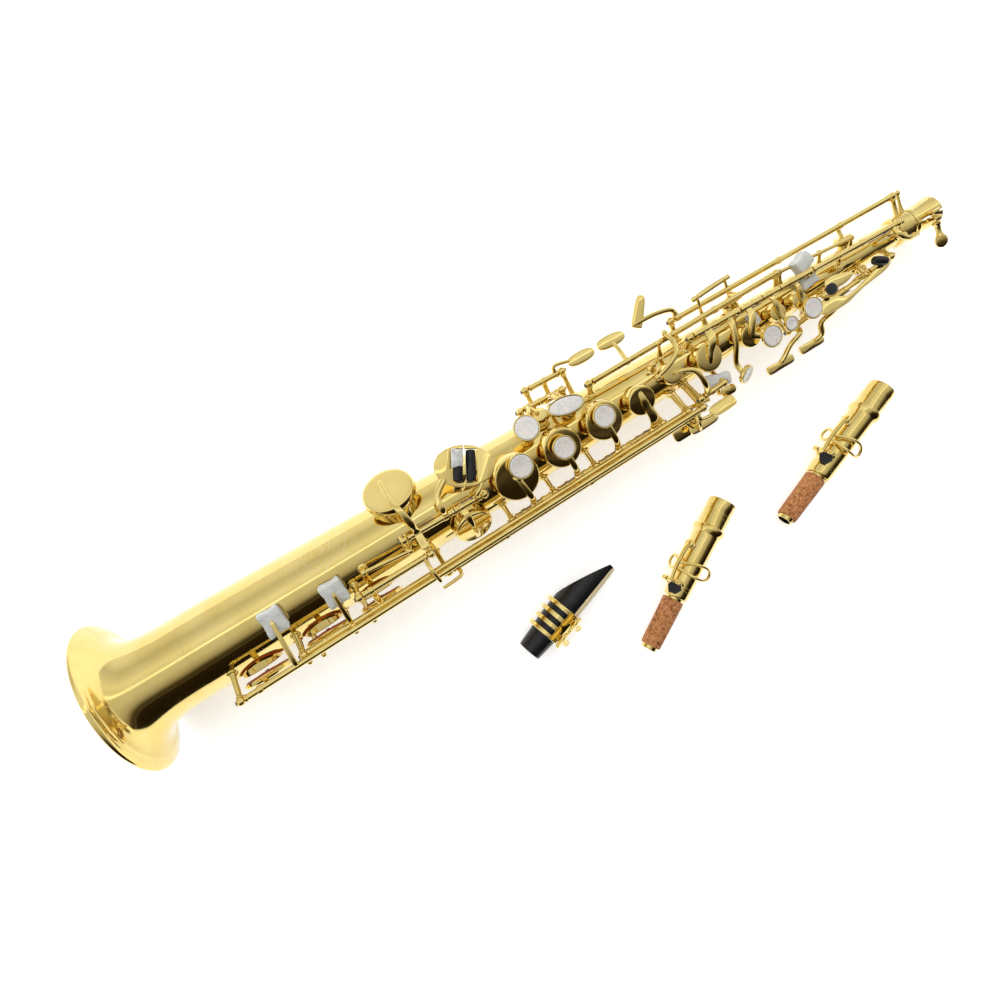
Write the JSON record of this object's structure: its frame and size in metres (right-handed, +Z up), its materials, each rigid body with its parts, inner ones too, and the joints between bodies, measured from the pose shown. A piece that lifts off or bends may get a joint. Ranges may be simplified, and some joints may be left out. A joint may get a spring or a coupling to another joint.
{
  "type": "soprano saxophone",
  "caption": "Straight soprano saxophone lying on its back with its keywork, two detached necks and a mouthpiece with reed and ligature beside it; keys close on tone holes.",
  "frame": {"origin": "centre of the footprint, on the table the instrument lies on", "axes": "+X runs along the instrument from the bell rim towards the neck receiver, lying level on the table; +Z is up from the table; +Y is across, towards the side keys"},
  "size_m": [0.5916, 0.1992, 0.092],
  "materials": {
    "lacquered_brass": "polished, clear lacquer",
    "steel": "blued hinge rod, ground",
    "pearl": "mother-of-pearl look, polished",
    "leather": "tan pad leather with a brass resonator",
    "roller": "black, polished",
    "ebonite": "black hard rubber, polished",
    "thumb_rest_plastic": "black, satin",
    "cork": "natural cork sheet, sanded",
    "cane": "bare cane, cut flat"
  },
  "bodies": {
    "body": {"body_tube": "lacquered_brass", "bell_flare": "lacquered_brass", "neck_receiver": "lacquered_brass", "thumb_hook": "lacquered_brass", "thumb_rest": "thumb_rest_plastic", "strap_ring": "lacquered_brass", "rod_low_c_eb": "steel", "rod_lower_stack": "steel", "rod_upper_stack": "steel"},
    "low_bb": {"low_bb_key": "lacquered_brass", "low_bb_pad": "leather"},
    "low_b": {"low_b_key": "lacquered_brass", "low_b_pad": "leather"},
    "low_cs": {"low_cs_key": "lacquered_brass", "low_cs_pad": "leather"},
    "low_cs_lever": {"low_cs_lever": "lacquered_brass"},
    "low_c": {"low_c_key": "lacquered_brass", "low_c_pad": "leather"},
    "low_eb": {"low_eb_key": "lacquered_brass"},
    "low_c_roller": {"low_c_roller": "roller"},
    "low_eb_roller": {"low_eb_roller": "roller"},
    "d": {"d_key": "lacquered_brass", "d_pearl": "pearl"},
    "e": {"e_key": "lacquered_brass", "e_pearl": "pearl"},
    "f": {"f_key": "lacquered_brass", "f_pearl": "pearl"},
    "fs": {"fs_key": "lacquered_brass"},
    "g": {"g_key": "lacquered_brass", "g_pearl": "pearl"},
    "a": {"a_key": "lacquered_brass", "a_pearl": "pearl"},
    "bis": {"bis_key": "lacquered_brass", "bis_pearl": "pearl"},
    "b": {"b_key": "lacquered_brass", "b_pearl": "pearl"},
    "gs": {"gs_key": "lacquered_brass"},
    "side_bb": {"side_bb_key": "lacquered_brass"},
    "side_c": {"side_c_key": "lacquered_brass"},
    "high_e": {"high_e_key": "lacquered_brass"},
    "trill": {"trill_key": "lacquered_brass", "trill_pearl": "pearl"},
    "high_fs": {"high_fs_key": "lacquered_brass", "high_fs_pearl": "pearl"},
    "palm_d": {"palm_d_key": "lacquered_brass"},
    "palm_eb": {"palm_eb_key": "lacquered_brass"},
    "palm_f": {"palm_f_key": "lacquered_brass"},
    "octave": {"octave_key": "lacquered_brass"},
    "neck_clamp_screw": {"neck_clamp_screw": "lacquered_brass"},
    "neck_a": {"neck_a_tube": "lacquered_brass", "neck_a_cork": "cork"},
    "neck_a_octave": {"neck_a_octave_key": "lacquered_brass"},
    "neck_b": {"neck_b_tube": "lacquered_brass", "neck_b_cork": "cork"},
    "neck_b_octave": {"neck_b_octave_key": "lacquered_brass"},
    "mouthpiece": {"mouthpiece": "ebonite"},
    "reed": {"reed": "cane"},
    "ligature": {"ligature": "lacquered_brass"},
    "ligature_screw_front": {"ligature_screw_front": "lacquered_brass"},
    "ligature_screw_rear": {"ligature_screw_rear": "lacquered_brass"}
  },
  "joints": [
    {"name": "low_bb_hinge", "type": "hinge", "parent": "body", "child": "low_bb", "pos_m": [-0.22114, 0.01839, 0.06911], "axis": [0.997, 0.0098, -0.0774], "range_deg": [0, 6.4]},
    {"name": "low_b_hinge", "type": "hinge", "parent": "body", "child": "low_b", "pos_m": [-0.18038, 0.02159, 0.06214], "axis": [0.997, 0.0098, -0.0774], "range_deg": [0, 6.4]},
    {"name": "low_cs_hinge", "type": "hinge", "parent": "body", "child": "low_cs", "pos_m": [-0.14416, 0.03245, 0.06709], "axis": [0.9982, 0, -0.0605], "range_deg": [0, 6.4]},
    {"name": "low_cs_lever_hinge", "type": "hinge", "parent": "body", "child": "low_cs_lever", "pos_m": [-0.0138, 0.01882, 0.04821], "axis": [0.997, 0.0098, -0.0774], "range_deg": [0, 16]},
    {"name": "low_c_hinge", "type": "hinge", "parent": "body", "child": "low_c", "pos_m": [-0.10829, 0.04649, 0.06561], "axis": [0.9968, -0.0227, -0.0764], "range_deg": [-10, 0]},
    {"name": "low_eb_hinge", "type": "hinge", "parent": "body", "child": "low_eb", "pos_m": [-0.07647, 0.04577, 0.06317], "axis": [0.9968, -0.0227, -0.0764], "range_deg": [-5, 0]},
    {"name": "low_c_roller_spin", "type": "hinge", "parent": "low_c", "child": "low_c_roller", "pos_m": [-0.06796, 0.06645, 0.06752], "axis": [0.4904, 0.8713, -0.019], "continuous": true},
    {"name": "low_eb_roller_spin", "type": "hinge", "parent": "low_eb", "child": "low_eb_roller", "pos_m": [-0.06143, 0.06276, 0.06727], "axis": [0.4904, 0.8713, -0.019], "continuous": true},
    {"name": "d_hinge", "type": "hinge", "parent": "body", "child": "d", "pos_m": [-0.04254, 0.02437, 0.04508], "axis": [0.9982, 0.0164, -0.0569], "range_deg": [-4.45, 0]},
    {"name": "e_hinge", "type": "hinge", "parent": "body", "child": "e", "pos_m": [-0.01069, 0.02489, 0.04327], "axis": [0.9982, 0.0164, -0.0569], "range_deg": [-4.4, 0]},
    {"name": "f_hinge", "type": "hinge", "parent": "body", "child": "f", "pos_m": [0.01927, 0.02539, 0.04156], "axis": [0.9982, 0.0164, -0.0569], "range_deg": [-4.4, 0]},
    {"name": "fs_hinge", "type": "hinge", "parent": "body", "child": "fs", "pos_m": [0.04593, 0.02583, 0.04004], "axis": [0.9982, 0.0164, -0.0569], "range_deg": [-3.95, 0]},
    {"name": "g_hinge", "type": "hinge", "parent": "body", "child": "g", "pos_m": [0.09753, 0.06125, 0.05463], "axis": [0.9962, -0.0311, -0.0812], "range_deg": [0, 5.2]},
    {"name": "a_hinge", "type": "hinge", "parent": "body", "child": "a", "pos_m": [0.12926, 0.06026, 0.05205], "axis": [0.9962, -0.0311, -0.0812], "range_deg": [0, 5.3]},
    {"name": "bis_hinge", "type": "hinge", "parent": "body", "child": "bis", "pos_m": [0.1521, 0.05955, 0.05018], "axis": [0.9962, -0.0311, -0.0812], "range_deg": [0, 5.7]},
    {"name": "b_hinge", "type": "hinge", "parent": "body", "child": "b", "pos_m": [0.16936, 0.05901, 0.04878], "axis": [0.9962, -0.0311, -0.0812], "range_deg": [0, 6.1]},
    {"name": "gs_hinge", "type": "hinge", "parent": "body", "child": "gs", "pos_m": [0.09021, 0.02711, 0.04634], "axis": [0.995, 0.0554, -0.0829], "range_deg": [0, 5]},
    {"name": "side_bb_hinge", "type": "hinge", "parent": "body", "child": "side_bb", "pos_m": [0.00507, 0.08554, 0.04448], "axis": [0.9982, -0.0449, -0.0386], "range_deg": [0, 8]},
    {"name": "side_c_hinge", "type": "hinge", "parent": "body", "child": "side_c", "pos_m": [0.13623, 0.06896, 0.04605], "axis": [0.9982, -0.0035, -0.0597], "range_deg": [0, 8]},
    {"name": "high_e_hinge", "type": "hinge", "parent": "body", "child": "high_e", "pos_m": [0.22587, 0.07467, 0.03495], "axis": [0.998, -0.0178, -0.0609], "range_deg": [0, 8]},
    {"name": "trill_hinge", "type": "hinge", "parent": "body", "child": "trill", "pos_m": [-0.01079, 0.07606, 0.0483], "axis": [0.989, -0.0382, -0.1426], "range_deg": [-5, 0]},
    {"name": "high_fs_hinge", "type": "hinge", "parent": "body", "child": "high_fs", "pos_m": [0.00613, 0.07541, 0.04586], "axis": [0.989, -0.0382, -0.1426], "range_deg": [-5, 0]},
    {"name": "palm_d_hinge", "type": "hinge", "parent": "body", "child": "palm_d", "pos_m": [0.18386, 0.03587, 0.03556], "axis": [0.9964, 0.0753, -0.0386], "range_deg": [-8, 0]},
    {"name": "palm_eb_hinge", "type": "hinge", "parent": "body", "child": "palm_eb", "pos_m": [0.20585, 0.03753, 0.03471], "axis": [0.9964, 0.0753, -0.0386], "range_deg": [-8, 0]},
    {"name": "palm_f_hinge", "type": "hinge", "parent": "body", "child": "palm_f", "pos_m": [0.22983, 0.03935, 0.03378], "axis": [0.9964, 0.0753, -0.0386], "range_deg": [-8, 0]},
    {"name": "octave_hinge", "type": "hinge", "parent": "body", "child": "octave", "pos_m": [0.20667, 0.05785, 0.04573], "axis": [0.9962, -0.0311, -0.0812], "range_deg": [-6, 0]},
    {"name": "neck_clamp_screw_turn", "type": "hinge", "parent": "body", "child": "neck_clamp_screw", "pos_m": [0.28569, 0.05402, 0.03678], "axis": [0.0122, 0.9487, 0.316], "continuous": true},
    {"name": "neck_a_lift", "type": "slide", "parent": "body", "child": "neck_a", "axis": [0, 0, 1], "range_m": [0, 0.06]},
    {"name": "neck_a_octave_hinge", "type": "hinge", "parent": "neck_a", "child": "neck_a_octave", "pos_m": [0.01499, -0.06375, 0.01698], "axis": [-0.2899, 0.4949, -0.8192], "range_deg": [-7, 0]},
    {"name": "neck_b_lift", "type": "slide", "parent": "body", "child": "neck_b", "axis": [0, 0, 1], "range_m": [0, 0.06]},
    {"name": "neck_b_octave_hinge", "type": "hinge", "parent": "neck_b", "child": "neck_b_octave", "pos_m": [0.14751, -0.04589, 0.01698], "axis": [-0.199, 0.5379, -0.8192], "range_deg": [-7, 0]},
    {"name": "mouthpiece_lift", "type": "slide", "parent": "body", "child": "mouthpiece", "axis": [0, 0, 1], "range_m": [0, 0.06]},
    {"name": "reed_adjust", "type": "slide", "parent": "mouthpiece", "child": "reed", "axis": [0.9494, 0.314, 0], "range_m": [-0.0015, 0.0015]},
    {"name": "ligature_slide", "type": "slide", "parent": "mouthpiece", "child": "ligature", "axis": [0.9494, 0.314, 0], "range_m": [-0.008, 0.003]},
    {"name": "ligature_screw_front_turn", "type": "hinge", "parent": "ligature", "child": "ligature_screw_front", "pos_m": [-0.05365, -0.05661, 0.01832], "axis": [-0.1176, 0.3557, 0.9272], "continuous": true},
    {"name": "ligature_screw_rear_turn", "type": "hinge", "parent": "ligature", "child": "ligature_screw_rear", "pos_m": [-0.06504, -0.06038, 0.01832], "axis": [-0.1176, 0.3557, 0.9272], "continuous": true}
  ],
  "couplings": [
    {"joint": "fs_hinge", "follows": "f_hinge", "ratio": 0.89773},
    {"joint": "bis_hinge", "follows": "a_hinge", "ratio": 1.0755},
    {"joint": "low_cs_hinge", "follows": "low_cs_lever_hinge", "ratio": 0.4}
  ]
}
